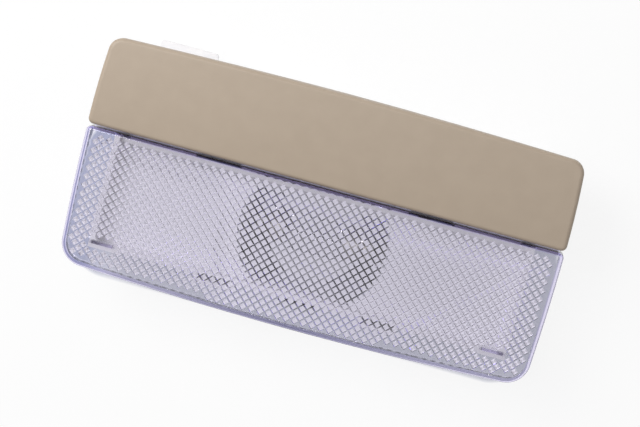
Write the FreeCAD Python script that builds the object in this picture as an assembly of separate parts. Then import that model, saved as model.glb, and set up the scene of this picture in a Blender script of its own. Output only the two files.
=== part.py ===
import FreeCAD, Part
import math
import os

V = FreeCAD.Vector
UP = V(0, 0, 1)

# Car courtesy light, face up. X runs along the lamp, Y towards the rocker switch, Z out of the face.
# Z = 0 is the plane that seats on the headliner, X = Y = 0 the middle of the cut-out in it.

# Outline seen from the front
lamp_width = 130.0
rocker_depth = 24.8
lens_depth = 38.6
split_gap = 0.6
rocker_side_radius = 275.0
lens_side_radius = 550.0
rocker_edge_radius = 2000.0
lens_edge_radius = 1100.0
rocker_corner = 3.7
lens_corner = 6.5
split_corner = 1.5

# Housing box that goes through the cut-out, set in from the outline
side_overhang = 7.7
lens_overhang = 7.6
rocker_overhang = 3.0
box_corner = 3.0
wall = 1.5
skirt_drop = 14.5
floor_drop = 2.0
floor_thick = 1.6
lamp_wall_height = 4.1
switch_wall_height = 3.0
partition_thick = 1.4
partition_height = 2.2
partition_clear = 0.3
flange_thick = 1.2
flange_inset = 1.2
ledge_clear = 0.4
switch_well_margin = 2.9
switch_wall_clear = 0.8

# Retaining tongue at the far edge
tongue_from_side = 4.9
tongue_width = 15.7
tongue_reach = 0.8
tongue_thick = 1.8
tongue_board_gap = 1.8
tongue_corner = 0.9

# Lens
lens_height = 7.0
lens_wall = 1.2
lens_near_wall = 1.0
lens_front = 1.6
lens_edge_round = 1.2
prism_pitch = 1.68
prism_depth = 0.84
rest_rib_from_side = 3.8
rest_rib_inset = 1.1
rest_rib_length = 7.0
rest_rib_thick = 0.8
hook_length = 5.6
hook_floor_clear = 0.5
hook_catch_height = 0.9
hook_barb = 0.5
hook_clear = 0.1
hook_end_clear = 0.2
hook_pad_width = 7.8
hook_pad_outside = 0.6
hook_pad_drop = 9.0
snap_spacing = 58.0
snap_slot_width = 12.5
end_snap_inset = 1.9
end_snap_slot_width = 4.5
snap_side_clear = 0.5
snap_drop = 1.4
snap_barb = 0.5
snap_catch_clear = 0.1

# Windows through the far wall of the box
window_spacing = 44.4
window_width = 9.4
window_thick = 2.0
window_outside = 1.3
window_pad_width = 11.2
window_pad_outside = 2.1
window_pad_drop = 9.0

# Rocker switch
rocker_height = 7.4
rocker_crown_radius = 160.0
rocker_skin = 1.5
rocker_edge_round = 1.1
rocker_throw_deg = 2.5
rocker_slope_spare_deg = 0.2
rocker_skirt_clear = 0.3
pivot_height = 2.4
trunnion_diameter = 4.0
trunnion_clear = 0.06
trunnion_length = 2.2
ear_width = 8.4
ear_thick = 2.2
ear_spacing = 15.8
ear_lip = 1.0
ear_entry = 3.3
rib_clear = 0.3
rib_thick = 1.6
rib_width = 7.0
rib_below_pivot = 3.4
leg_spacing = 40.0
leg_width = 2.4
leg_length = 8.0
stiffener_spacing = 62.0
stiffener_thick = 1.2
stiffener_height = 1.8
stiffener_clear = 0.8

# Switch leaf and its contacts
leaf_width = 6.0
leaf_thick = 0.3
leaf_flat = 12.0
leaf_span = 46.0
leaf_rise = 1.3
leaf_boss_height = 1.0
leaf_boss_length = 13.0
leg_leaf_gap = 0.3
contact_boss_height = 0.9
contact_boss_diameter = 6.0
contact_head_diameter = 4.0
contact_head_height = 0.6
rivet_shank = 2.0
rivet_head_diameter = 3.6
rivet_head_height = 0.6
rivet_tail_diameter = 3.2
rivet_tail_height = 0.5

# Bulb well and reflector bowl
well_radius = 20.5
well_from_split = 14.8
well_near_margin = 1.7
well_corner = 2.0
bowl_clear = 0.2
bowl_sheet = 0.5
bowl_drop = 13.5
bowl_floor_radius = 13.6
bowl_near_slope = 0.6
bowl_far_slope = 2.4
bowl_flange = 1.9
bowl_slot_clear = 0.4

# Festoon bulb
bulb_axis_drop = 6.8
glass_diameter = 10.0
glass_wall = 0.6
glass_body = 11.0
glass_shoulder = 2.0
neck_diameter = 7.2
neck_length = 3.0
cap_diameter = 8.5
cap_start = 8.1
cap_body_end = 12.5
cap_end = 15.5
cap_tip_diameter = 2.6
cap_cone_diameter = 7.0
cap_bore_clear = 0.05
cap_bore_spare = 0.2
filament_length = 6.0
filament_diameter = 0.9
support_diameter = 0.4

# Brass strips behind the floor
strip_width = 3.4
strip_thick = 0.6
blade_thick = 0.5
blade_width = 6.0
blade_rise = 3.2
blade_drop = 9.6
blade_leg_gap = 0.5
blade_hole_clear = 0.1
blade_grip = 1.3
common_turn_clear = 6.5
common_run_offset = 5.8
door_run_offset = 5.2
plug_from_side = 12.8
plug_offset = 3.0
plug_pitch = 5.0
plug_blade_width = 2.8
plug_blade_drop = 11.5
socket_width = 16.4
socket_depth = 12.0
socket_wall = 1.2
socket_drop = 13.5
strip_slot_clear = 0.3
stake_diameter = 1.7
stake_head_diameter = 3.0
stake_head_height = 0.6
stake_clear = 0.05
bowl_stake_gap = 0.3
bowl_stake_deg = 20.0

# Spring clip on the lens side of the box
clip_width = 10.0
clip_thick = 0.5
clip_clear = 0.05
clip_notch_width = 11.2
clip_notch_depth = 1.1
clip_inner_leg = 6.5
clip_straight = 2.4
clip_bulge = 3.0
clip_crest_drop = 4.2
clip_tip_drop = 1.7
clip_tip_out = 1.2

# Places that follow from the values above
box_width = lamp_width - 2 * side_overhang
box_depth = lens_depth + split_gap + rocker_depth - lens_overhang - rocker_overhang
half_box_x = box_width / 2
half_box_y = box_depth / 2
split_y = lens_depth + split_gap / 2 - lens_overhang - half_box_y
rocker_near = split_y + split_gap / 2
rocker_far = rocker_near + rocker_depth
rocker_mid = rocker_near + rocker_depth / 2
lens_near = split_y - split_gap / 2
lens_far = lens_near - lens_depth
lens_ceiling = lens_height - lens_front
floor_top = -floor_drop
floor_back = floor_top - floor_thick
partition_far = lens_near - lens_near_wall - partition_clear
partition_near = partition_far - partition_thick
well_y = split_y - well_from_split
well_near = partition_near - well_near_margin - well_y
well_far = well_y + half_box_y - wall
rest_rib_y = rest_rib_inset - half_box_y
tongue_left = half_box_x - tongue_from_side
end_snap_spacing = box_width - 2 * end_snap_inset
rest_rib_spacing = box_width - 2 * rest_rib_from_side
hook_inside = rest_rib_y + rest_rib_thick / 2
hook_outside = rest_rib_y - rest_rib_thick / 2
hook_low = floor_top + hook_floor_clear
blade_reach = cap_end - blade_grip
cone_slope = (cap_cone_diameter - cap_tip_diameter) / (cap_end - cap_body_end)
blade_hole = cap_tip_diameter + cone_slope * blade_grip + blade_hole_clear
leg_reach = well_radius - bowl_clear + bowl_flange + blade_leg_gap
common_turn = well_radius + common_turn_clear
common_run = rocker_mid - common_run_offset
door_run = rocker_mid + door_run_offset
plug_x = half_box_x - plug_from_side
plug_y = rocker_mid - plug_offset


def box(x0, x1, y0, y1, z0, z1):
    return Part.makeBox(x1 - x0, y1 - y0, z1 - z0, V(x0, y0, z0))


def rod(diameter, start, end):
    return Part.makeCylinder(diameter / 2, (end - start).Length, start, end - start)


def fused(first, *others):
    return first.fuse(list(others)).removeSplitter()


def upright_edges(shape, wanted):
    found = []
    for edge in shape.Edges:
        a = edge.Vertexes[0].Point
        b = edge.Vertexes[-1].Point
        if abs(a.x - b.x) + abs(a.y - b.y) < 1e-6 and abs(a.z - b.z) > 1e-3 and wanted(a):
            found.append(edge)
    return found


def face_edges_at(shape, height):
    flat = [f for f in shape.Faces if abs(f.BoundBox.ZMin - height) + abs(f.BoundBox.ZMax - height) < 1e-4]
    return max(flat, key=lambda f: f.Area).OuterWire.Edges


# A block with one straight side at the split line and three sides that bow outwards a little
def bowed_block(near, depth, side_radius, edge_radius, corner, inset, z0, z1):
    sign = 1 if depth > 0 else -1
    far = near + depth
    tall = z1 - z0
    low = min(near + sign * inset, far + sign)
    high = max(near + sign * inset, far + sign)
    shape = box(-lamp_width, lamp_width, low, high, z0, z1)
    side = lamp_width / 2 - side_radius
    shape = shape.common(Part.makeCylinder(side_radius - inset, tall, V(side, near, z0)))
    shape = shape.common(Part.makeCylinder(side_radius - inset, tall, V(-side, near, z0)))
    shape = shape.common(Part.makeCylinder(edge_radius - inset, tall, V(0, far - sign * edge_radius, z0)))
    middle = near + depth / 2
    shape = shape.makeFillet(corner - inset, upright_edges(shape, lambda p: sign * (p.y - middle) > 0))
    if split_corner > inset:
        at_split = upright_edges(shape, lambda p: abs(p.y - near) < inset + 0.1)
        shape = shape.makeFillet(split_corner - inset, at_split)
    return shape


def lens_block(inset, z0, z1):
    return bowed_block(lens_near, -lens_depth, lens_side_radius, lens_edge_radius, lens_corner, inset, z0, z1)


# The lens's hollow: its near wall is thinner than the others
def lens_hollow(z0, z1):
    shift = lens_wall - lens_near_wall
    return bowed_block(lens_near + shift, -lens_depth - shift, lens_side_radius, lens_edge_radius,
                       lens_corner, lens_wall, z0, z1)


def rocker_block(inset, z0, z1):
    return bowed_block(rocker_near, rocker_depth, rocker_side_radius, rocker_edge_radius, rocker_corner,
                       inset, z0, z1)


# Outline of a circle about the bulb's middle with a straight near side and a straight far side
def well_wire(radius, near, far, height):
    near_half = math.sqrt(radius ** 2 - near ** 2)
    far_half = math.sqrt(radius ** 2 - far ** 2)
    a = V(near_half, well_y + near, height)
    b = V(far_half, well_y - far, height)
    c = V(-far_half, well_y - far, height)
    d = V(-near_half, well_y + near, height)
    right = Part.Arc(a, V(radius, well_y, height), b).toShape()
    left = Part.Arc(c, V(-radius, well_y, height), d).toShape()
    return Part.Wire([right, Part.makeLine(b, c), left, Part.makeLine(d, a)])


# A strip of sheet bent along points in the plane across one axis, as a face
def ribbon(points, thick):
    sides = []
    for sign in (1, -1):
        for i, p in enumerate(points):
            before = (points[i] - points[i - 1]).normalize() if i else None
            after = (points[i + 1] - points[i]).normalize() if i + 1 < len(points) else None
            along = before or after
            if before and after:
                along = (before + after).normalize()
            normal = V(-along.z, 0, along.x)
            if points[0].x == points[-1].x:
                normal = V(0, -along.z, along.y)
            stretch = 1.0
            if before and after:
                stretch = 1 / math.cos(before.getAngle(after) / 2)
            sides.append((sign, p + normal * (sign * thick / 2 * stretch)))
    ring = [p for s, p in sides if s > 0] + [p for s, p in reversed(sides) if s < 0]
    return Part.Face(Part.makePolygon(ring + [ring[0]]))


# A flat strip behind the floor that follows points in plan
def flat_run(points, width, z0, z1):
    pieces = []
    half = width / 2
    for (ax, ay), (bx, by) in zip(points, points[1:]):
        pieces.append(box(min(ax, bx) - half, max(ax, bx) + half,
                          min(ay, by) - half, max(ay, by) + half, z0, z1))
    return fused(pieces[0], *pieces[1:])


# Prisms: two sets of ridges that cross at right angles leave rows of small pyramids
def ridged_slab(angle, top):
    span = math.hypot(lamp_width, lens_depth) / 2 + prism_pitch
    count = int(span / prism_pitch) + 1
    outline = [V(-count * prism_pitch, -span, top)]
    for i in range(-count, count):
        outline.append(V(i * prism_pitch, -span, lens_ceiling))
        outline.append(V((i + 0.5) * prism_pitch, -span, lens_ceiling - prism_depth))
    outline.append(V(count * prism_pitch, -span, lens_ceiling))
    outline.append(V(count * prism_pitch, -span, top))
    slab = Part.Face(Part.makePolygon(outline + [outline[0]])).extrude(V(0, 2 * span, 0))
    slab.rotate(V(0, 0, 0), UP, angle)
    slab.translate(V(0, lens_near - lens_depth / 2, 0))
    return slab


def make_lens():
    ceiling_low = lens_ceiling - prism_depth
    shell = lens_block(0, 0, lens_height)
    shell = shell.makeFillet(lens_edge_round, face_edges_at(shell, lens_height))
    shell = shell.cut(lens_hollow(0, lens_ceiling))
    ledge_top = flange_thick + ledge_clear
    inner_half = lamp_width / 2 - lens_wall
    shell = shell.cut(box(-inner_half, inner_half, lens_near - lens_wall - 1, lens_near + 1, -1, ledge_top))
    for side in (-1, 1):
        x = side * rest_rib_spacing / 2
        rib = box(x - rest_rib_length / 2, x + rest_rib_length / 2, hook_outside, hook_inside,
                  lamp_wall_height, lens_ceiling)
        half = hook_length / 2
        hook = box(x - half, x + half, hook_outside, hook_inside, hook_low, lens_ceiling)
        catch = hook_catch_height - hook_clear
        corners = [V(x - half, hook_outside, catch),
                   V(x - half, hook_outside - hook_barb, catch),
                   V(x - half, hook_outside, hook_low)]
        barb = Part.Face(Part.makePolygon(corners + [corners[0]])).extrude(V(2 * half, 0, 0))
        shell = shell.fuse([rib, hook, barb])
        for spacing, slot in ((snap_spacing, snap_slot_width), (end_snap_spacing, end_snap_slot_width)):
            x = side * spacing / 2
            half = slot / 2 - snap_side_clear
            y = lens_near - lens_near_wall
            tab = box(x - half, x + half, y, lens_near, -snap_drop, ledge_top)
            corners = [V(x - half, lens_near, -0.1),
                       V(x - half, lens_near + snap_barb, -0.1),
                       V(x - half, lens_near, -snap_drop)]
            barb = Part.Face(Part.makePolygon(corners + [corners[0]])).extrude(V(2 * half, 0, 0))
            shell = shell.fuse([tab, barb])
    field = lens_hollow(ceiling_low - 1, lens_ceiling + 0.2)
    ridges = ridged_slab(45, lens_ceiling + 0.2).common(field)
    ridges = ridges.common(ridged_slab(-45, lens_ceiling + 0.2).common(field))
    return shell.fuse(ridges)


def make_housing():
    outer = box(-half_box_x, half_box_x, -half_box_y, half_box_y, -skirt_drop, lamp_wall_height)
    outer = outer.makeFillet(box_corner, upright_edges(outer, lambda p: True))
    inner_x = half_box_x - wall
    inner_y = half_box_y - wall
    inner = box(-inner_x, inner_x, -inner_y, inner_y, -skirt_drop, lamp_wall_height)
    inner = inner.makeFillet(box_corner - wall, upright_edges(inner, lambda p: True))
    floor = inner.common(box(-inner_x, inner_x, -inner_y, inner_y, floor_back, floor_top))
    shell = outer.cut(inner)
    partition = box(-inner_x, inner_x, partition_near, partition_far, floor_back, partition_height)
    shell = shell.cut(box(-half_box_x, half_box_x, partition_far, half_box_y,
                          switch_wall_height, lamp_wall_height))
    behind_skirt = rocker_near + rocker_skin + switch_wall_clear
    shell = shell.cut(box(-half_box_x, half_box_x, partition_far, behind_skirt,
                          flange_thick, lamp_wall_height))
    flange = rocker_block(flange_inset, 0, flange_thick)
    ledge_half = lamp_width / 2 - lens_wall - ledge_clear
    ledge = box(-ledge_half, ledge_half, partition_far, rocker_near + 2 * flange_inset, 0, flange_thick)
    ledge = ledge.fuse(flange)
    ledge = ledge.cut(box(-inner_x, inner_x, rocker_near + switch_well_margin, inner_y, -1, flange_thick + 1))
    tongue_y = rocker_far + tongue_reach
    tongue = box(-tongue_left, tongue_width - tongue_left, inner_y, tongue_y,
                 -tongue_board_gap - tongue_thick, -tongue_board_gap)
    tongue = tongue.makeFillet(tongue_corner, upright_edges(tongue, lambda p: p.y > tongue_y - 1e-6))
    shape = fused(shell, floor, partition, ledge, tongue)

    for side in (-1, 1):
        edges = sorted((side * half_box_x, side * (half_box_x - hook_pad_width)))
        pad = box(edges[0], edges[1], -half_box_y - hook_pad_outside, -inner_y,
                  -hook_pad_drop, lamp_wall_height)
        x = side * rest_rib_spacing / 2
        half = hook_length / 2 + hook_end_clear
        recess = box(x - half, x + half, hook_outside - hook_clear, hook_inside + hook_clear,
                     floor_top, lamp_wall_height + 1)
        catch = box(x - half, x + half, -half_box_y - hook_pad_outside - 1, hook_inside,
                    floor_top, hook_catch_height)
        shape = shape.fuse(pad).cut(recess.fuse(catch))
        x = side * window_spacing / 2
        half = window_pad_width / 2
        pad = box(x - half, x + half, -half_box_y - window_pad_outside, -inner_y,
                  -window_pad_drop, lamp_wall_height)
        window_y = -half_box_y - window_outside
        window = box(x - window_width / 2, x + window_width / 2, window_y, window_y + window_thick,
                     -skirt_drop - 1, lamp_wall_height + 1)
        shape = shape.fuse(pad).cut(window)
        for spacing, slot in ((snap_spacing, snap_slot_width), (end_snap_spacing, end_snap_slot_width)):
            x = side * spacing / 2
            y = lens_near - lens_near_wall - snap_side_clear
            neck = box(x - slot / 2, x + slot / 2, y, lens_near + snap_catch_clear, floor_back - 1,
                       lamp_wall_height + 1)
            catch = box(x - slot / 2, x + slot / 2, y, lens_near + snap_barb + snap_side_clear,
                        floor_back - 1, 0)
            shape = shape.cut(neck.fuse(catch))

    well = Part.Face(well_wire(well_radius, well_near, well_far, floor_back - 1))
    well = well.extrude(V(0, 0, floor_thick + 2))
    well = well.makeFillet(well_corner, upright_edges(well, lambda p: True))
    shape = shape.cut(well)

    for side in (-1, 1):
        y = rocker_mid + side * (ear_spacing + ear_thick) / 2
        top = pivot_height + trunnion_diameter / 2 + trunnion_clear + ear_lip
        ear = box(-ear_width / 2, ear_width / 2, y - ear_thick / 2, y + ear_thick / 2, floor_top - 0.2, top)
        bore = rod(trunnion_diameter + 2 * trunnion_clear,
                   V(0, y - ear_thick, pivot_height), V(0, y + ear_thick, pivot_height))
        entry = box(-ear_entry / 2, ear_entry / 2, y - ear_thick, y + ear_thick, pivot_height, top + 1)
        shape = shape.fuse(ear).cut(bore.fuse(entry))

    boss = box(-leaf_boss_length / 2, leaf_boss_length / 2,
               rocker_mid - leaf_width / 2, rocker_mid + leaf_width / 2,
               floor_top - 0.2, floor_top + leaf_boss_height)
    shape = shape.fuse(boss)
    holes = [0.0]
    for side in (-1, 1):
        x = side * leg_spacing / 2
        holes.append(x)
        pad = rod(contact_boss_diameter, V(x, rocker_mid, floor_top - 0.2),
                  V(x, rocker_mid, floor_top + contact_boss_height))
        shape = shape.fuse(pad)
    for x in holes:
        shape = shape.cut(rod(rivet_shank, V(x, rocker_mid, floor_back - 1), V(x, rocker_mid, floor_top + 3)))

    half_x = socket_width / 2
    half_y = socket_depth / 2
    socket = box(-plug_x - half_x, -plug_x + half_x, plug_y - half_y, plug_y + half_y,
                 -socket_drop, floor_back)
    half_x = half_x - socket_wall
    half_y = half_y - socket_wall
    socket = socket.cut(box(-plug_x - half_x, -plug_x + half_x, plug_y - half_y, plug_y + half_y,
                            -socket_drop, floor_back))
    gap_low = floor_back - strip_thick - strip_slot_clear
    room = strip_width + 2 * strip_slot_clear
    for run in (live_points(), earth_points(), door_points()):
        socket = socket.cut(flat_run(run, room, gap_low, floor_back))
    shape = shape.fuse(socket)

    for places in strip_stakes().values():
        for x, y in places:
            shape = shape.fuse(stake(x, y, floor_back - strip_thick))
    for x, y in bowl_stakes():
        shape = shape.fuse(stake(x, y, floor_back - bowl_sheet))

    notch = box(-clip_notch_width / 2, clip_notch_width / 2, -half_box_y - 1, -inner_y + 0.1, -skirt_drop,
                -skirt_drop + clip_notch_depth)
    return shape.cut(notch).removeSplitter()


def make_rocker():
    skirt_low = flange_thick + rocker_skirt_clear
    crown = rocker_crown_radius
    rise = crown - math.sqrt(crown ** 2 - (rocker_depth / 2) ** 2)
    axis_z = rocker_height + rise - crown
    shell = rocker_block(0, skirt_low, rocker_height + rise + 1)
    long = lamp_width + 2
    outer_face = Part.makeCylinder(crown, long, V(-long / 2, rocker_mid, axis_z), V(1, 0, 0))
    inner_face = Part.makeCylinder(crown - rocker_skin, long, V(-long / 2, rocker_mid, axis_z), V(1, 0, 0))
    shell = shell.common(outer_face)
    front = max((f for f in shell.Faces if f.BoundBox.ZMin > rocker_height - 0.1), key=lambda f: f.Area)
    shell = shell.makeFillet(rocker_edge_round, front.OuterWire.Edges)
    hollow = rocker_block(rocker_skin, skirt_low, rocker_height + rise).common(inner_face)
    shell = shell.cut(hollow)

    rib_root = rocker_height + rise - rocker_skin / 2
    parts = []
    for side in (-1, 1):
        inner = ear_spacing / 2 - rib_clear - rib_thick
        outer = ear_spacing / 2 - rib_clear
        y0 = rocker_mid + min(side * inner, side * outer)
        y1 = rocker_mid + max(side * inner, side * outer)
        parts.append(box(-rib_width / 2, rib_width / 2, y0, y1, pivot_height - rib_below_pivot, rib_root))
        start = V(0, rocker_mid + side * inner, pivot_height)
        end = V(0, rocker_mid + side * (outer + rib_clear + trunnion_length), pivot_height)
        parts.append(rod(trunnion_diameter, start, end))
        x = side * leg_spacing / 2
        foot = leaf_top_at(leg_spacing / 2) + leg_leaf_gap
        leg = box(x - leg_width / 2, x + leg_width / 2,
                  rocker_mid - leg_length / 2, rocker_mid + leg_length / 2,
                  foot + leg_width / 2, rib_root)
        parts.append(leg)
        parts.append(rod(leg_width, V(x, rocker_mid - leg_length / 2, foot + leg_width / 2),
                         V(x, rocker_mid + leg_length / 2, foot + leg_width / 2)))
        x = side * stiffener_spacing / 2
        rib = box(x - stiffener_thick / 2, x + stiffener_thick / 2,
                  rocker_near + rocker_skin / 2, half_box_y - wall - stiffener_clear,
                  rocker_height - rocker_skin - stiffener_height, rocker_height - rocker_skin / 2)
        parts.append(rib.common(inner_face))
    shape = fused(shell, *parts)

    slope = math.tan(math.radians(rocker_throw_deg + rocker_slope_spare_deg))
    reach = lamp_width / 2 + 1
    corners = [V(0, rocker_near - 1, skirt_low),
               V(reach, rocker_near - 1, skirt_low + reach * slope),
               V(reach, rocker_near - 1, skirt_low - 1),
               V(-reach, rocker_near - 1, skirt_low - 1),
               V(-reach, rocker_near - 1, skirt_low + reach * slope)]
    wedge = Part.Face(Part.makePolygon(corners + [corners[0]])).extrude(V(0, rocker_depth + 2, 0))
    wedge = wedge.cut(rocker_block(rocker_skin + 0.01, skirt_low - 2, rocker_height))
    return shape.cut(wedge).removeSplitter()


def leaf_top_at(x):
    share = (x - leaf_flat / 2) / (leaf_span / 2 - leaf_flat / 2)
    return floor_top + leaf_boss_height + leaf_thick + leaf_rise * share


def make_leaf():
    low = floor_top + leaf_boss_height + leaf_thick / 2
    y = rocker_mid - leaf_width / 2
    points = [V(-leaf_span / 2, y, low + leaf_rise),
              V(-leaf_flat / 2, y, low),
              V(leaf_flat / 2, y, low),
              V(leaf_span / 2, y, low + leaf_rise)]
    leaf = ribbon(points, leaf_thick).extrude(V(0, leaf_width, 0))
    return leaf.cut(rod(rivet_shank, V(0, rocker_mid, low - 1), V(0, rocker_mid, low + 1)))


def make_rivet(x, seat, head_diameter, head_height):
    back = floor_back - strip_thick
    shank = rod(rivet_shank, V(x, rocker_mid, back), V(x, rocker_mid, seat))
    head = rod(head_diameter, V(x, rocker_mid, seat), V(x, rocker_mid, seat + head_height))
    tail = rod(rivet_tail_diameter, V(x, rocker_mid, back - rivet_tail_height), V(x, rocker_mid, back))
    return fused(shank, head, tail)


# The bowl: a cone about the bulb's middle between a steep near wall and a sloping far wall
def bowl_form(rim, near, far, floor_radius, floor_near, floor_far, low):
    tall = floor_back - low
    cone = Part.makeCone(floor_radius, rim, tall, V(0, well_y, low))
    corners = [V(-rim, well_y + near, floor_back),
               V(-rim, well_y + floor_near, low),
               V(-rim, well_y - floor_far, low),
               V(-rim, well_y - far, floor_back)]
    return cone.common(Part.Face(Part.makePolygon(corners + [corners[0]])).extrude(V(2 * rim, 0, 0)))


def make_bowl():
    rim = well_radius - bowl_clear
    near = well_near - bowl_clear
    far = well_far - bowl_clear
    floor_near = near - bowl_near_slope
    floor_far = far - bowl_far_slope
    t = bowl_sheet
    outer = bowl_form(rim, near, far, bowl_floor_radius, floor_near, floor_far, -bowl_drop)
    inner = bowl_form(rim - t, near - t, far - t, bowl_floor_radius - t, floor_near - t, floor_far - t,
                      t - bowl_drop)
    edge = Part.Face(well_wire(rim + bowl_flange, near + bowl_flange, far, floor_back - t))
    bowl = outer.fuse(edge.extrude(V(0, 0, t))).cut(inner)
    for side in (-1, 1):
        half = strip_width / 2 + bowl_slot_clear
        x0 = min(side * blade_reach, side * leg_reach)
        x1 = max(side * blade_reach, side * leg_reach)
        bowl = bowl.cut(box(x0, x1, well_y - half, well_y + half, -blade_drop - bowl_slot_clear,
                            strip_thick - blade_drop + bowl_slot_clear))
    return bowl.removeSplitter()


def spun(points):
    ring = [V(x, well_y + r, -bulb_axis_drop) for x, r in points]
    face = Part.Face(Part.makePolygon(ring + [ring[0]]))
    return face.revolve(V(0, well_y, -bulb_axis_drop), V(1, 0, 0), 360)


def make_glass():
    r = glass_diameter / 2
    n = neck_diameter / 2
    a = glass_body / 2
    b = a + glass_shoulder
    c = b + neck_length
    m = a + glass_shoulder * 0.55
    q = (r + n) / 2 + 0.45
    half = [(a, r), (m, q), (b, n), (c, n)]
    outer = [(-x, h) for x, h in reversed(half)] + half
    inner = [(x, h - glass_wall) for x, h in reversed(outer)]
    return spun(outer + inner)


def make_cap(side):
    bore = neck_diameter / 2 + cap_bore_clear
    bore_end = glass_body / 2 + glass_shoulder + neck_length + cap_bore_spare
    points = [(cap_start, bore), (cap_start, cap_diameter / 2), (cap_body_end - 0.6, cap_diameter / 2),
              (cap_body_end, cap_cone_diameter / 2), (cap_end, cap_tip_diameter / 2), (cap_end, 0),
              (bore_end, 0), (bore_end, bore)]
    return spun([(side * x, r) for x, r in points])


def make_filament():
    z = -bulb_axis_drop
    end = glass_body / 2 + glass_shoulder + neck_length + cap_bore_spare
    coil = rod(filament_diameter, V(-filament_length / 2, well_y, z), V(filament_length / 2, well_y, z))
    wires = rod(support_diameter, V(-end, well_y, z), V(end, well_y, z))
    return fused(coil, wires)


# Heat-staked posts: on the strips, and around the bowl's flange with heads that hold it
def strip_stakes():
    middle = well_y / 2 + plug_y / 2
    return {"live": [(-(leg_reach + plug_x) / 2, well_y), (-plug_x, middle - strip_width)],
            "common": [(common_turn, (well_y + common_run) / 2), (common_turn / 2, common_run)],
            "earth": [(-(leg_spacing / 2 + plug_x - plug_pitch) / 2, rocker_mid)],
            "door": [(-leg_spacing / 2, door_run), (leg_spacing / 4, door_run)]}


def bowl_stakes():
    reach = well_radius - bowl_clear + bowl_flange + bowl_stake_gap + stake_diameter / 2
    turn = math.radians(bowl_stake_deg)
    x = reach * math.cos(turn)
    y = reach * math.sin(turn)
    return [(-x, well_y - y), (-x, well_y + y), (x, well_y - y), (x, well_y + y)]


def stake(x, y, seat):
    post = rod(stake_diameter, V(x, y, seat), V(x, y, floor_back + 0.2))
    head = rod(stake_head_diameter, V(x, y, seat - stake_head_height), V(x, y, seat))
    rim = [e for e in head.Edges if e.Closed and abs(e.BoundBox.ZMax - seat + stake_head_height) < 1e-6]
    return post.fuse(head.makeChamfer(stake_head_height / 2, rim))


def live_points():
    return [(-leg_reach - strip_width / 2, well_y), (-plug_x, well_y), (-plug_x, plug_y)]


def common_points():
    return [(leg_reach + strip_width / 2, well_y), (common_turn, well_y), (common_turn, common_run),
            (0, common_run), (0, rocker_mid)]


def earth_points():
    x = plug_pitch - plug_x
    return [(x, plug_y), (x, rocker_mid), (-leg_spacing / 2, rocker_mid)]


def door_points():
    return [(-plug_x - plug_pitch, plug_y), (-plug_x - plug_pitch, door_run), (leg_spacing / 2, door_run),
            (leg_spacing / 2, rocker_mid)]


# Spring contact for one end of the bulb: down beside the bowl, in through its wall, and up as a blade
def bulb_contact(side):
    half = strip_width / 2
    low = -blade_drop
    leg = box(leg_reach, leg_reach + strip_thick, -half, half, low, floor_back)
    arm = box(blade_reach, leg_reach + strip_thick, -half, half, low, low + strip_thick)
    blade = box(blade_reach, blade_reach + blade_thick, -blade_width / 2, blade_width / 2,
                low, blade_rise - bulb_axis_drop)
    hole = rod(blade_hole, V(blade_reach - 1, 0, -bulb_axis_drop), V(blade_reach + 2, 0, -bulb_axis_drop))
    contact = fused(leg, arm, blade).cut(hole)
    if side < 0:
        contact = contact.mirror(V(0, 0, 0), V(1, 0, 0))
    contact.translate(V(0, well_y, 0))
    return contact


def strip(points, stakes, plug=None, rivet=None, bulb_side=0):
    back = floor_back - strip_thick
    shape = flat_run(points, strip_width, back, floor_back)
    for x, y in stakes:
        shape = shape.cut(rod(stake_diameter + 2 * stake_clear, V(x, y, back - 1), V(x, y, floor_back + 1)))
    if plug is not None:
        shape = shape.fuse(box(plug - plug_blade_width / 2, plug + plug_blade_width / 2,
                               plug_y - strip_thick / 2, plug_y + strip_thick / 2,
                               -plug_blade_drop, floor_back))
    if bulb_side:
        shape = shape.fuse(bulb_contact(bulb_side))
    if rivet is not None:
        shape = shape.cut(rod(rivet_shank, V(rivet, rocker_mid, back - 1),
                              V(rivet, rocker_mid, floor_back + 1)))
    return shape.removeSplitter()


def make_clip():
    t = clip_thick / 2 + clip_clear
    inside = -half_box_y + wall + t
    outside = -half_box_y - t
    turn = -skirt_drop + clip_notch_depth - t
    x = -clip_width / 2
    points = [V(x, inside, turn + clip_inner_leg),
              V(x, inside, turn),
              V(x, outside, turn),
              V(x, outside, turn + clip_straight),
              V(x, outside - clip_bulge, -clip_crest_drop),
              V(x, outside - clip_tip_out, -clip_tip_drop)]
    return ribbon(points, clip_thick).extrude(V(clip_width, 0, 0))


leaf_seat = floor_top + leaf_boss_height + leaf_thick
contact_seat = floor_top + contact_boss_height
stakes = strip_stakes()

pieces = {
    "housing": make_housing(),
    "lens": make_lens(),
    "switch_rocker": make_rocker(),
    "reflector_bowl": make_bowl(),
    "bulb_glass": make_glass(),
    "bulb_cap_left": make_cap(-1),
    "bulb_cap_right": make_cap(1),
    "bulb_filament": make_filament(),
    "live_strip": strip(live_points(), stakes["live"], plug=-plug_x, bulb_side=-1),
    "common_strip": strip(common_points(), stakes["common"], rivet=0.0, bulb_side=1),
    "earth_strip": strip(earth_points(), stakes["earth"], plug=-plug_x + plug_pitch, rivet=-leg_spacing / 2),
    "door_strip": strip(door_points(), stakes["door"], plug=-plug_x - plug_pitch, rivet=leg_spacing / 2),
    "switch_leaf": make_leaf(),
    "leaf_rivet": make_rivet(0.0, leaf_seat, rivet_head_diameter, rivet_head_height),
    "earth_contact": make_rivet(-leg_spacing / 2, contact_seat, contact_head_diameter, contact_head_height),
    "door_contact": make_rivet(leg_spacing / 2, contact_seat, contact_head_diameter, contact_head_height),
    "mounting_spring": make_clip(),
}

os.makedirs("parts", exist_ok=True)
for name, shape in pieces.items():
    shape.exportStep("parts/" + name + ".step")
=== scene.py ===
import math
import bmesh
import bpy
from mathutils import Matrix, Vector


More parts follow.
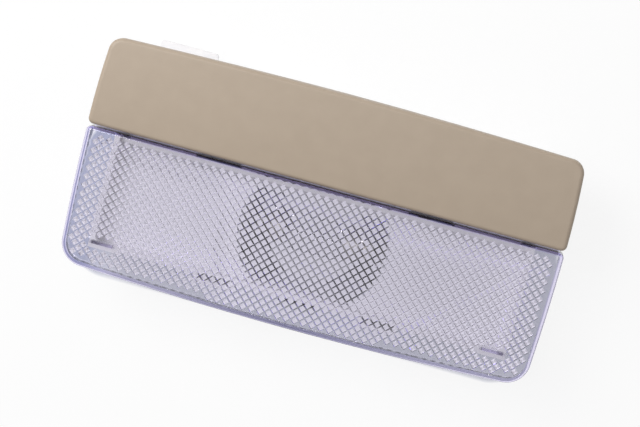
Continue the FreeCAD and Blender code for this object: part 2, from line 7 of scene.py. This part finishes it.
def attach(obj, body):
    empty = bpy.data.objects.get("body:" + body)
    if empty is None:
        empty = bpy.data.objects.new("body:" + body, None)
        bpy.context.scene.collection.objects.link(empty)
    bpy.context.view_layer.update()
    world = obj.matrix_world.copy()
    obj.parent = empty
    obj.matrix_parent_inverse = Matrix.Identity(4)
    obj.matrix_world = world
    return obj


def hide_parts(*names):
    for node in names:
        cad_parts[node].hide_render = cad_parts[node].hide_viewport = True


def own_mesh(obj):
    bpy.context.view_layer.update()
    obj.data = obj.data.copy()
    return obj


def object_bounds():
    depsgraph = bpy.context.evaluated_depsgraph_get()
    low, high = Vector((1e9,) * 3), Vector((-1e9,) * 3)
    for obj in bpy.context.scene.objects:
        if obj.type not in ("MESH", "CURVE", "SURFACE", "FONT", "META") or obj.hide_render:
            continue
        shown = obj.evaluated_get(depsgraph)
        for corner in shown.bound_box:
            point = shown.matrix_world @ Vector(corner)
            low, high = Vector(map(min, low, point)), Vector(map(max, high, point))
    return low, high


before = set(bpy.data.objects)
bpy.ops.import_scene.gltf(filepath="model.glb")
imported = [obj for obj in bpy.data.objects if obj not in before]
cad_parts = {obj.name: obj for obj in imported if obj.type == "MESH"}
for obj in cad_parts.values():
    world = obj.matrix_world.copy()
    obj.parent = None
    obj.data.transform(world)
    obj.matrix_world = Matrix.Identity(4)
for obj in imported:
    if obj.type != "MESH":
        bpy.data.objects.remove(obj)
cad_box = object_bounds()

# Lengths are in metres, in the frame of the CAD model: X along the lamp, Y towards the rocker,
# Z out of the face.
MM = 0.001

# Camera: the photograph looks almost straight down on the face, with the lamp turned clockwise
# in the picture.
PICTURE_WIDTH = 640
FACE_MM_PER_PIXEL = 0.2621
CAMERA_DISTANCE = 600 * MM
CAMERA_LEAN_RIGHT = math.radians(3.0)
CAMERA_LEAN_FAR = math.radians(7.0)
PICTURE_TURN = math.radians(15.25)
CAMERA_TARGET = Vector((0.5, -2.2, 7.0)) * MM
SENSOR_WIDTH = 36.0
NEAREST_SEEN = 10 * MM

# Light: a white room under a brighter ceiling, which is brightest beyond the rocker and to the
# left, and one soft lamp on that side.
ROOM_STRENGTH = 0.34
CEILING_STRENGTH = 0.66
CEILING_EDGE_STRENGTH = 0.92
CEILING_SPREAD = 0.2
CEILING_TILT = (-0.4, 1.0, 0.0)
CEILING_NEAR_SHARE = 0.62
CEILING_FAR_SHARE = 1.38
CEILING_STARTS = 0.70
CEILING_FULL = 0.93
KEY_POWER = 1.8
KEY_SIZE = 340 * MM
KEY_PLACE = Vector((-290, 200, 370)) * MM

# Floor: white paper, with a patch of painted shade under the lamp, where the lamp keeps light from
# it:
# inside the patch the floor's glow is painted dimmer and bluer, and at its left end the paper is
# painted a darker blue grey. The patch is seen through the lens.
FLOOR_SIZE = 4.0
FLOOR_HEX = "F4F4F4"
SHADE_HEX = "A4A8BC"
SHADE_GLOW_HEX = "AAB0CC"
FLOOR_GLOW = 0.85
SHADE_GLOW = 0.3
SHADE_HALF_X = 64.0 * MM
SHADE_HALF_Y = 30.4 * MM
SHADE_MIDDLE_X = -0.6 * MM
SHADE_MIDDLE_Y = -5.8 * MM
SHADE_CORNER = 10.0 * MM
SHADE_REACH = 1.6 * MM
SHADE_LEFT_FULL = -60.0 * MM
SHADE_LEFT_STARTS = -52.0 * MM

# Lens prisms: two sets of grooves with a narrow flat land at the bottom of each groove. A whole
# prism has four corners around its tip. The edges are where the violet tint of the wall beside the
# rocker and the painted grey shade of the far wall start and where they are full, and the last
# three lengths say what counts as equal.
GROOVE_TOP = 5.4 * MM
PRISM_TIP = 4.56 * MM
PRISM_PITCH = 1.68 * MM
LAND_WIDTH = 0.30 * MM
PRISM_CORNERS = 4
LENS_EDGE_STARTS = 3.2 * MM
LENS_EDGE_FULL = 3.5 * MM
LENS_FAR_EDGE_STARTS = -33.2 * MM
LENS_FAR_EDGE_FULL = -33.5 * MM
HEIGHT_WITHIN = 0.01 * MM
LENGTH_WITHIN = 0.02 * MM
LEVEL_WITHIN = 0.001 * MM

# Grain: the part of the noise's range that is used, the scale of a colour's clouding beside that of
# the grain, and how far rolling draws the grain out.
GRAIN_LOW = 0.3
GRAIN_HIGH = 0.7
CLOUD_SHARE = 0.1
NOISE_DETAIL = 2.0
EVEN = 1.0
ROLLED = 14.0

# Copies of CAD nodes: which corners are one, and which edges look sharp.
JOIN_WITHIN = 0.002 * MM
SHARP_ANGLE = math.radians(20)

# Filament: a coil of wire between two stiff wires, on the bulb's axis.
BULB_Y = -10.2 * MM
BULB_Z = -6.8 * MM
COIL_LENGTH = 6.0 * MM
COIL_RADIUS = 0.38 * MM
COIL_TURNS = 22.0
COIL_WIRE_RADIUS = 0.07 * MM
STEM_END = 10.7 * MM
STEM_RADIUS = 0.2 * MM
COIL_STEPS = 14
WIRE_SIDES = 6
STEM_SIDES = 12


# An sRGB hex colour as the linear values that a shader takes.
def linear(hex_code):
    channels = [int(hex_code[i:i + 2], 16) / 255 for i in (0, 2, 4)]
    return [c / 12.92 if c <= 0.04045 else ((c + 0.055) / 1.055) ** 2.4 for c in channels] + [1.0]


# A node with its settings, and its sockets linked or set.
def add_node(tree, kind, inputs=None, **settings):
    node = tree.nodes.new(kind)
    for name, value in settings.items():
        setattr(node, name, value)
    for name, value in (inputs or {}).items():
        if isinstance(value, bpy.types.NodeSocket):
            tree.links.new(value, node.inputs[name])
        else:
            node.inputs[name].default_value = value
    return node


def material(name, **sockets):
    made = bpy.data.materials.new(name)
    made.use_nodes = True
    made.node_tree.nodes.clear()
    shader = add_node(made.node_tree, "ShaderNodeBsdfPrincipled", sockets)
    add_node(made.node_tree, "ShaderNodeOutputMaterial", {"Surface": shader.outputs[0]})
    return made


def node_of(made, kind):
    return next(n for n in made.node_tree.nodes if n.type == kind)


# Grain: the fine unevenness that making leaves, drawn out along the lamp where a sheet was rolled.
def add_grain(made, size, drawn_out, depth, roughness, colours):
    tree = made.node_tree
    shader = node_of(made, "BSDF_PRINCIPLED")
    place = add_node(tree, "ShaderNodeTexCoord")
    grid = add_node(tree, "ShaderNodeMapping", {
        "Vector": place.outputs["Object"], "Scale": (1 / (size * drawn_out), 1 / size, 1 / size)})
    grain = add_node(tree, "ShaderNodeTexNoise", {
        "Vector": grid.outputs[0], "Scale": 1.0, "Detail": NOISE_DETAIL})
    relief = add_node(tree, "ShaderNodeBump", {
        "Height": grain.outputs[0], "Strength": 1.0, "Distance": depth})
    sheen = add_node(tree, "ShaderNodeMapRange", {
        "Value": grain.outputs[0], "From Min": GRAIN_LOW, "From Max": GRAIN_HIGH,
        "To Min": roughness[0], "To Max": roughness[1]})
    cloud = add_node(tree, "ShaderNodeTexNoise", {
        "Vector": grid.outputs[0], "Scale": CLOUD_SHARE, "Detail": NOISE_DETAIL})
    shade = add_node(tree, "ShaderNodeMapRange", {
        "Value": cloud.outputs[0], "From Min": GRAIN_LOW, "From Max": GRAIN_HIGH})
    colour = add_node(tree, "ShaderNodeMix", {
        0: shade.outputs[0], 6: linear(colours[0]), 7: linear(colours[1])}, data_type="RGBA")
    tree.links.new(relief.outputs[0], shader.inputs["Normal"])
    tree.links.new(sheen.outputs[0], shader.inputs["Roughness"])
    tree.links.new(colour.outputs[2], shader.inputs["Base Color"])


# Clear pieces bend what is seen through them, and let soft light through to the pieces inside.
def let_light_through(made, hex_code):
    tree = made.node_tree
    shader = node_of(made, "BSDF_PRINCIPLED")
    output = node_of(made, "OUTPUT_MATERIAL")
    path = add_node(tree, "ShaderNodeLightPath")
    spread = add_node(tree, "ShaderNodeMath", {
        0: path.outputs["Is Glossy Ray"], 1: path.outputs["Is Singular Ray"]},
        operation="GREATER_THAN")
    soft = add_node(tree, "ShaderNodeMath", {
        0: path.outputs["Is Diffuse Ray"], 1: spread.outputs[0]}, operation="MAXIMUM")
    lit = add_node(tree, "ShaderNodeMath", {
        0: path.outputs["Is Shadow Ray"], 1: soft.outputs[0]}, operation="MAXIMUM")
    open_way = add_node(tree, "ShaderNodeBsdfTransparent", {"Color": linear(hex_code)})
    mix = add_node(tree, "ShaderNodeMixShader", {
        0: lit.outputs[0], 1: shader.outputs[0], 2: open_way.outputs[0]})
    tree.links.new(mix.outputs[0], output.inputs["Surface"])


# Moulded white polypropylene: satin and nearly shadowless, with the faint texture of its mould.
housing_white = material("polypropylene_moulded_white", **{"IOR": 1.49})
add_grain(housing_white, 0.5 * MM, EVEN, 0.005 * MM, (0.38, 0.46), ("EEEDF0", "F4F3F4"))

# Moulded ABS in taupe: spark-eroded grain spreads the highlight. The real grain is about 0.15 mm,
# too fine to show.
rocker_taupe = material("abs_moulded_taupe", **{"IOR": 1.53})
add_grain(rocker_taupe, 0.45 * MM, EVEN, 0.010 * MM, (0.44, 0.53), ("AD9D8B", "B0A08E"))

# Polished polycarbonate: clear across its thickness, violet along it.
lens_clear = material("polycarbonate_polished_clear", **{
    "Base Color": linear("FFFFFF"), "Roughness": 0.0, "IOR": 1.585, "Transmission Weight": 1.0})
lens_tree = lens_clear.node_tree
tint = add_node(lens_tree, "ShaderNodeVolumeAbsorption", {
    "Color": linear("8A4DF5"), "Density": 40.0})
lens_tree.links.new(tint.outputs[0], node_of(lens_clear, "OUTPUT_MATERIAL").inputs["Volume"])
let_light_through(lens_clear, "EFEFEF")

# The lens's wall beside the rocker gathers the violet, as the edge of a clear sheet does. Its far
# wall is painted grey: a painted shade that darkens its rim like the shadow under the lamp.
lens_place = add_node(lens_tree, "ShaderNodeTexCoord")
lens_axes = add_node(lens_tree, "ShaderNodeSeparateXYZ", {0: lens_place.outputs["Object"]})
lens_edge = add_node(lens_tree, "ShaderNodeMapRange", {
    "Value": lens_axes.outputs["Y"], "From Min": LENS_EDGE_STARTS, "From Max": LENS_EDGE_FULL})
lens_far_edge = add_node(lens_tree, "ShaderNodeMapRange", {
    "Value": lens_axes.outputs["Y"],
    "From Min": LENS_FAR_EDGE_STARTS, "From Max": LENS_FAR_EDGE_FULL})
# Painted shade: the lens's far wall is painted grey (BCBCCA).
lens_far_painted_grey = add_node(lens_tree, "ShaderNodeMix", {
    0: lens_far_edge.outputs[0], 6: linear("FFFFFF"), 7: linear("BCBCCA")}, data_type="RGBA")
lens_violet_and_painted_grey = add_node(lens_tree, "ShaderNodeMix", {
    0: lens_edge.outputs[0], 6: lens_far_painted_grey.outputs[2], 7: linear("E0DAFA")}, data_type="RGBA")
lens_tree.links.new(
    lens_violet_and_painted_grey.outputs[2], node_of(lens_clear, "BSDF_PRINCIPLED").inputs["Base Color"])

# Pressed aluminium, satin from the mill, with the slight clouding of a deep press.
bowl_aluminium = material("aluminium_pressed_satin", **{"Metallic": 1.0})
add_grain(bowl_aluminium, 0.8 * MM, EVEN, 0.002 * MM, (0.14, 0.22), ("D2D2D7", "DEDEE1"))

# Clear soda-lime bulb glass.
bulb_clear = material("soda_lime_glass_clear", **{
    "Base Color": linear("FFFFFF"), "Roughness": 0.0, "IOR": 1.52, "Transmission Weight": 1.0})
let_light_through(bulb_clear, "F4F4F4")

# Nickel-plated brass caps: bright, with soft handling marks.
cap_nickel = material("nickel_plate_bright", **{"Metallic": 1.0})
add_grain(cap_nickel, 0.6 * MM, EVEN, 0.002 * MM, (0.16, 0.28), ("C2BFB9", "D0CEC9"))

# Drawn tungsten wire: dull grey, with fine die marks along the wire.
filament_tungsten = material("tungsten_drawn", **{"Metallic": 1.0})
add_grain(filament_tungsten, 0.1 * MM, ROLLED, 0.002 * MM, (0.34, 0.46), ("6E6E73", "808084"))

# Stamped brass strip with a dull tin plate: rolling streaks 0.25 mm wide show through the plate.
strip_tinned = material("tin_plate_dull", **{"Metallic": 1.0})
add_grain(strip_tinned, 0.25 * MM, ROLLED, 0.003 * MM, (0.30, 0.46), ("B8B6B1", "CECCC7"))

# Bare brass rivets: yellow, slightly uneven from heading.
rivet_brass = material("brass_headed_bare", **{"Metallic": 1.0})
add_grain(rivet_brass, 0.3 * MM, EVEN, 0.003 * MM, (0.24, 0.38), ("BC9A52", "D2B06A"))

# Phosphor bronze spring sheet: redder than the brass, with rolling streaks and a little tarnish.
leaf_bronze = material("phosphor_bronze_rolled", **{"Metallic": 1.0})
add_grain(leaf_bronze, 0.25 * MM, ROLLED, 0.003 * MM, (0.24, 0.38), ("AA774C", "C49062"))

# Silver-plated contact faces: matt, with a breath of tarnish.
contact_silver = material("silver_plate_matt", **{"Metallic": 1.0})
add_grain(contact_silver, 0.2 * MM, EVEN, 0.003 * MM, (0.28, 0.42), ("C8C5BC", "DCDBD6"))

# Spring steel strip, bare: grey, with rolling streaks 0.25 mm wide.
spring_steel = material("spring_steel_rolled", **{"Metallic": 1.0})
add_grain(spring_steel, 0.25 * MM, ROLLED, 0.004 * MM, (0.28, 0.44), ("7E8086", "94969A"))

finishes = {
    "housing": housing_white,
    "lens": lens_clear,
    "switch_rocker": rocker_taupe,
    "reflector_bowl": bowl_aluminium,
    "bulb_glass": bulb_clear,
    "bulb_cap_left": cap_nickel,
    "bulb_cap_right": cap_nickel,
    "bulb_filament": filament_tungsten,
    "live_strip": strip_tinned,
    "common_strip": strip_tinned,
    "earth_strip": strip_tinned,
    "door_strip": strip_tinned,
    "switch_leaf": leaf_bronze,
    "leaf_rivet": rivet_brass,
    "earth_contact": contact_silver,
    "door_contact": contact_silver,
    "mounting_spring": spring_steel,
}
for node_name, finish in finishes.items():
    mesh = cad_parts[node_name].data
    mesh.materials.clear()
    mesh.materials.append(finish)


# A copy of a CAD node, with its loose triangles joined.
def joined_copy(node_name, piece_name):
    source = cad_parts[node_name].data
    mesh = bpy.data.meshes.new(piece_name)
    mesh.from_pydata([v.co for v in source.vertices], [], [p.vertices for p in source.polygons])
    work = bmesh.new()
    work.from_mesh(mesh)
    bmesh.ops.remove_doubles(work, verts=work.verts, dist=JOIN_WITHIN)
    work.to_mesh(mesh)
    work.free()
    piece = bpy.data.objects.new(piece_name, mesh)
    bpy.context.scene.collection.objects.link(piece)
    return piece


def shade_by_angle(mesh):
    mesh.shade_smooth()
    mesh.set_sharp_from_angle(angle=SHARP_ANGLE)


# The tip of a whole prism.
def is_tip(vert):
    corners = [e.other_vert(vert).co for e in vert.link_edges]
    reach = PRISM_PITCH / math.sqrt(2)
    whole = [c for c in corners if abs((c.xy - vert.co.xy).length - reach) < LENGTH_WITHIN]
    return len(whole) == PRISM_CORNERS and abs(vert.co.z - PRISM_TIP) < HEIGHT_WITHIN


# The bottom of a groove, along one whole prism.
def is_groove(edge):
    a, b = (v.co for v in edge.verts)
    level = abs(a.z - GROOVE_TOP) < HEIGHT_WITHIN and abs(b.z - GROOVE_TOP) < HEIGHT_WITHIN
    whole = abs((a - b).length - PRISM_PITCH) < LENGTH_WITHIN
    return level and whole and len(edge.link_faces) == 2


# The lens with its lands: the CAD lens, with every whole groove flattened and the cut prisms at its
# walls left out.
def make_lens():
    lens = joined_copy("lens", "lens_prismatic")
    work = bmesh.new()
    work.from_mesh(lens.data)
    tips = {v for v in work.verts if is_tip(v)}
    for vert in work.verts:
        kept = vert in tips or any(e.other_vert(vert) in tips for e in vert.link_edges)
        if PRISM_TIP - HEIGHT_WITHIN < vert.co.z < GROOVE_TOP - LEVEL_WITHIN and not kept:
            vert.co.z = GROOVE_TOP
    grooves = [e for e in work.edges if is_groove(e)]
    bmesh.ops.bevel(work, geom=grooves, offset=LAND_WIDTH / math.sqrt(2), offset_type="OFFSET",
                    segments=1, profile=0.5, affect="EDGES", clamp_overlap=False)
    work.to_mesh(lens.data)
    work.free()
    shade_by_angle(lens.data)
    lens.data.materials.append(lens_clear)
    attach(lens, "lamp")
    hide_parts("lens")


def socket_name(group, label):
    return next(i.identifier for i in group.interface.items_tree if i.name == label)


# The filament: a wound coil and the two stems that carry it, as one piece.
def make_filament():
    group = bpy.data.node_groups.new("wound_filament", "GeometryNodeTree")
    sizes = {"Coil Length": COIL_LENGTH, "Coil Radius": COIL_RADIUS, "Turns": COIL_TURNS,
             "Wire Radius": COIL_WIRE_RADIUS, "Stem Radius": STEM_RADIUS}
    for label in sizes:
        group.interface.new_socket(label, in_out="INPUT", socket_type="NodeSocketFloat")
    group.interface.new_socket("Geometry", in_out="OUTPUT", socket_type="NodeSocketGeometry")
    given = add_node(group, "NodeGroupInput")
    coil = add_node(group, "GeometryNodeCurveSpiral", {
        "Resolution": COIL_STEPS, "Rotations": given.outputs["Turns"],
        "Start Radius": given.outputs["Coil Radius"], "End Radius": given.outputs["Coil Radius"],
        "Height": given.outputs["Coil Length"]})
    laid = add_node(group, "GeometryNodeTransform", {
        "Geometry": coil.outputs[0], "Translation": (-COIL_LENGTH / 2, BULB_Y, BULB_Z),
        "Rotation": (0, math.pi / 2, 0)})
    wire = add_node(group, "GeometryNodeCurvePrimitiveCircle", {
        "Resolution": WIRE_SIDES, "Radius": given.outputs["Wire Radius"]})
    wound = add_node(group, "GeometryNodeCurveToMesh", {
        "Curve": laid.outputs[0], "Profile Curve": wire.outputs[0], "Fill Caps": True})
    rod = add_node(group, "GeometryNodeCurvePrimitiveCircle", {
        "Resolution": STEM_SIDES, "Radius": given.outputs["Stem Radius"]})
    joined = add_node(group, "GeometryNodeJoinGeometry", {0: wound.outputs[0]})
    for side in (-1, 1):
        line = add_node(group, "GeometryNodeCurvePrimitiveLine", {
            "Start": (side * STEM_END, BULB_Y, BULB_Z),
            "End": (side * COIL_LENGTH / 2, BULB_Y, BULB_Z)})
        stem = add_node(group, "GeometryNodeCurveToMesh", {
            "Curve": line.outputs[0], "Profile Curve": rod.outputs[0], "Fill Caps": True})
        group.links.new(stem.outputs[0], joined.inputs[0])
    real = add_node(group, "GeometryNodeRealizeInstances", {"Geometry": joined.outputs[0]})
    coated = add_node(group, "GeometryNodeSetMaterial", {
        "Geometry": real.outputs[0], "Material": filament_tungsten})
    add_node(group, "NodeGroupOutput", {"Geometry": coated.outputs[0]})
    piece = bpy.data.objects.new("filament_coil", bpy.data.meshes.new("filament_blank"))
    bpy.context.scene.collection.objects.link(piece)
    maker = piece.modifiers.new("wound_filament", "NODES")
    maker.node_group = group
    for label, size in sizes.items():
        maker[socket_name(group, label)] = size
    ready = piece.evaluated_get(bpy.context.evaluated_depsgraph_get())
    mesh = bpy.data.meshes.new_from_object(ready)
    piece.modifiers.clear()
    piece.data = mesh
    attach(piece, "lamp")
    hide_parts("bulb_filament")


# The leaf spring under the rocker's legs, riveted to its boss: a copy of the CAD leaf, which keeps
# its shape.
def make_leaf():
    leaf = joined_copy("switch_leaf", "leaf_spring")
    shade_by_angle(leaf.data)
    leaf.data.materials.append(leaf_bronze)
    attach(leaf, "lamp")
    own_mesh(leaf)
    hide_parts("switch_leaf")


make_lens()
make_filament()
make_leaf()


def place_camera():
    data = bpy.data.cameras.new("camera")
    camera = bpy.data.objects.new("camera", data)
    bpy.context.scene.collection.objects.link(camera)
    bpy.context.scene.camera = camera
    lean = Vector((math.tan(CAMERA_LEAN_RIGHT), math.tan(CAMERA_LEAN_FAR), 1.0))
    towards_camera = lean.normalized()
    lamp_right = (Vector((1, 0, 0)) - towards_camera * towards_camera.x).normalized()
    lamp_up = towards_camera.cross(lamp_right)
    right = lamp_right * math.cos(PICTURE_TURN) + lamp_up * math.sin(PICTURE_TURN)
    up = towards_camera.cross(right)
    turn = Matrix((right, up, towards_camera)).transposed().to_4x4()
    place = CAMERA_TARGET + towards_camera * CAMERA_DISTANCE
    camera.matrix_world = Matrix.Translation(place) @ turn
    data.sensor_width = SENSOR_WIDTH
    data.lens = SENSOR_WIDTH * CAMERA_DISTANCE / (PICTURE_WIDTH * FACE_MM_PER_PIXEL * MM)
    data.clip_start = NEAREST_SEEN


def place_floor():
    low = cad_box[0][2]
    half = FLOOR_SIZE / 2
    mesh = bpy.data.meshes.new("floor")
    corners = [(-half, -half, low), (half, -half, low), (half, half, low), (-half, half, low)]
    mesh.from_pydata(corners, [], [(0, 1, 2, 3)])
    floor = bpy.data.objects.new("floor", mesh)
    bpy.context.scene.collection.objects.link(floor)
    paper = bpy.data.materials.new("paper_white_matt_with_painted_shade")
    paper.use_nodes = True
    tree = paper.node_tree
    tree.nodes.clear()
    path = add_node(tree, "ShaderNodeLightPath")
    shiny = add_node(tree, "ShaderNodeMath", {
        0: path.outputs["Is Glossy Ray"], 1: path.outputs["Is Transmission Ray"]},
        operation="MAXIMUM")
    seen = add_node(tree, "ShaderNodeMath", {
        0: path.outputs["Is Camera Ray"], 1: shiny.outputs[0]}, operation="MAXIMUM")
    place = add_node(tree, "ShaderNodeTexCoord")
    axes = add_node(tree, "ShaderNodeSeparateXYZ", {0: place.outputs["Object"]})
    middle_x = add_node(tree, "ShaderNodeMath", {
        0: axes.outputs["X"], 1: SHADE_MIDDLE_X}, operation="SUBTRACT")
    along = add_node(tree, "ShaderNodeMath", {0: middle_x.outputs[0]}, operation="ABSOLUTE")
    middle_y = add_node(tree, "ShaderNodeMath", {
        0: axes.outputs["Y"], 1: SHADE_MIDDLE_Y}, operation="SUBTRACT")
    across = add_node(tree, "ShaderNodeMath", {0: middle_y.outputs[0]}, operation="ABSOLUTE")
    away = add_node(tree, "ShaderNodeCombineXYZ", {0: along.outputs[0], 1: across.outputs[0]})
    past = add_node(tree, "ShaderNodeVectorMath", {
        0: away.outputs[0], 1: (SHADE_HALF_X - SHADE_CORNER, SHADE_HALF_Y - SHADE_CORNER, 0)},
        operation="SUBTRACT")
    beyond = add_node(tree, "ShaderNodeVectorMath", {
        0: past.outputs[0], 1: (0, 0, 0)}, operation="MAXIMUM")
    outside = add_node(tree, "ShaderNodeVectorMath", {0: beyond.outputs[0]}, operation="LENGTH")
    # Painted shade: the patch under the lamp, with a soft edge; inside it the floor's glow drops to
    # SHADE_GLOW.
    clear = add_node(tree, "ShaderNodeMapRange", {
        "Value": outside.outputs["Value"],
        "From Min": SHADE_CORNER, "From Max": SHADE_CORNER + SHADE_REACH})
    bright = add_node(tree, "ShaderNodeMapRange", {
        "Value": clear.outputs[0], "To Min": SHADE_GLOW, "To Max": FLOOR_GLOW})
    share = add_node(tree, "ShaderNodeMath", {
        0: seen.outputs[0], 1: bright.outputs[0]}, operation="MULTIPLY")
    # Painted shadow: at the left end of the patch the paper is painted a darker blue grey
    # (SHADE_HEX).
    right_of = add_node(tree, "ShaderNodeMapRange", {
        "Value": axes.outputs["X"], "From Min": SHADE_LEFT_FULL, "From Max": SHADE_LEFT_STARTS})
    plain = add_node(tree, "ShaderNodeMath", {
        0: clear.outputs[0], 1: right_of.outputs[0]}, operation="MAXIMUM")
    paper_with_painted_shade = add_node(tree, "ShaderNodeMix", {
        0: plain.outputs[0], 6: linear(SHADE_HEX), 7: linear(FLOOR_HEX)}, data_type="RGBA")
    matt = add_node(tree, "ShaderNodeBsdfDiffuse", {"Color": paper_with_painted_shade.outputs[2]})
    # Painted light and shade: inside the patch the glow is painted blue grey, as if lit only
    # through the violet lens.
    glow_colour = add_node(tree, "ShaderNodeMix", {
        0: clear.outputs[0], 6: linear(SHADE_GLOW_HEX), 7: linear("FFFFFF")}, data_type="RGBA")
    glow = add_node(tree, "ShaderNodeEmission", {"Color": glow_colour.outputs[2], "Strength": 1.0})
    paper_mix = add_node(tree, "ShaderNodeMixShader", {
        0: share.outputs[0], 1: matt.outputs[0], 2: glow.outputs[0]})
    add_node(tree, "ShaderNodeOutputMaterial", {"Surface": paper_mix.outputs[0]})
    mesh.materials.append(paper)


def place_light():
    world = bpy.data.worlds.new("studio")
    bpy.context.scene.world = world
    world.use_nodes = True
    tree = world.node_tree
    tree.nodes.clear()
    ray = add_node(tree, "ShaderNodeTexCoord")
    axes = add_node(tree, "ShaderNodeSeparateXYZ", {0: ray.outputs["Generated"]})
    off_middle = add_node(tree, "ShaderNodeMath", {0: axes.outputs["Y"]}, operation="ABSOLUTE")
    panel = add_node(tree, "ShaderNodeMapRange", {
        "Value": off_middle.outputs[0], "From Max": CEILING_SPREAD,
        "To Min": CEILING_STRENGTH, "To Max": CEILING_EDGE_STRENGTH})
    to_key = add_node(tree, "ShaderNodeVectorMath", {
        0: ray.outputs["Generated"], 1: CEILING_TILT}, operation="DOT_PRODUCT")
    tilt = add_node(tree, "ShaderNodeMapRange", {
        "Value": to_key.outputs["Value"], "From Min": -CEILING_SPREAD, "From Max": CEILING_SPREAD,
        "To Min": CEILING_NEAR_SHARE, "To Max": CEILING_FAR_SHARE})
    ceiling = add_node(tree, "ShaderNodeMath", {
        0: panel.outputs[0], 1: tilt.outputs[0]}, operation="MULTIPLY")
    level = add_node(tree, "ShaderNodeMapRange", {
        "Value": axes.outputs["Z"], "From Min": CEILING_STARTS, "From Max": CEILING_FULL,
        "To Min": ROOM_STRENGTH, "To Max": ceiling.outputs[0]}, interpolation_type="SMOOTHSTEP")
    sky = add_node(tree, "ShaderNodeBackground", {
        "Color": linear("FFFFFF"), "Strength": level.outputs[0]})
    add_node(tree, "ShaderNodeOutputWorld", {"Surface": sky.outputs[0]})
    data = bpy.data.lights.new("key", "AREA")
    data.shape = "DISK"
    data.size = KEY_SIZE
    data.energy = KEY_POWER
    key = bpy.data.objects.new("key", data)
    key.location = KEY_PLACE
    key.rotation_euler = (-KEY_PLACE).to_track_quat("-Z", "Y").to_euler()
    bpy.context.scene.collection.objects.link(key)


place_camera()
place_floor()
place_light()
bpy.context.scene.view_settings.view_transform = "Standard"
